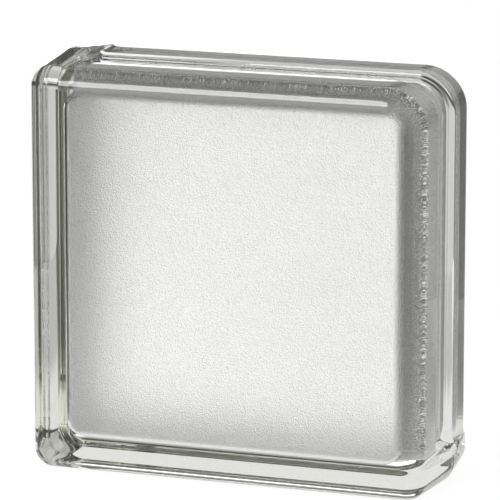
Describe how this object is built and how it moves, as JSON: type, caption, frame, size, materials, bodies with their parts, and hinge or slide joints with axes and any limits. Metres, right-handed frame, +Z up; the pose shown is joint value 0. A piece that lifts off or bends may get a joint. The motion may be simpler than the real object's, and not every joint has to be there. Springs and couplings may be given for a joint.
{
  "type": "glass block",
  "caption": "Hollow square glass block for the free corner of a glass wall, with smooth finished outer sides, lipped mortar channels along its joining sides and a frosted inside.",
  "frame": {"origin": "middle of the base, on the floor", "axes": "+Z up towards the top channel, +X towards the side channel, -Y out of the front face"},
  "size_m": [0.1944, 0.08, 0.1943],
  "materials": {
    "glass": "clear and glossy outside, fine frosted grain inside"
  },
  "bodies": {
    "root": {"glass_block": "glass"}
  },
  "joints": []
}
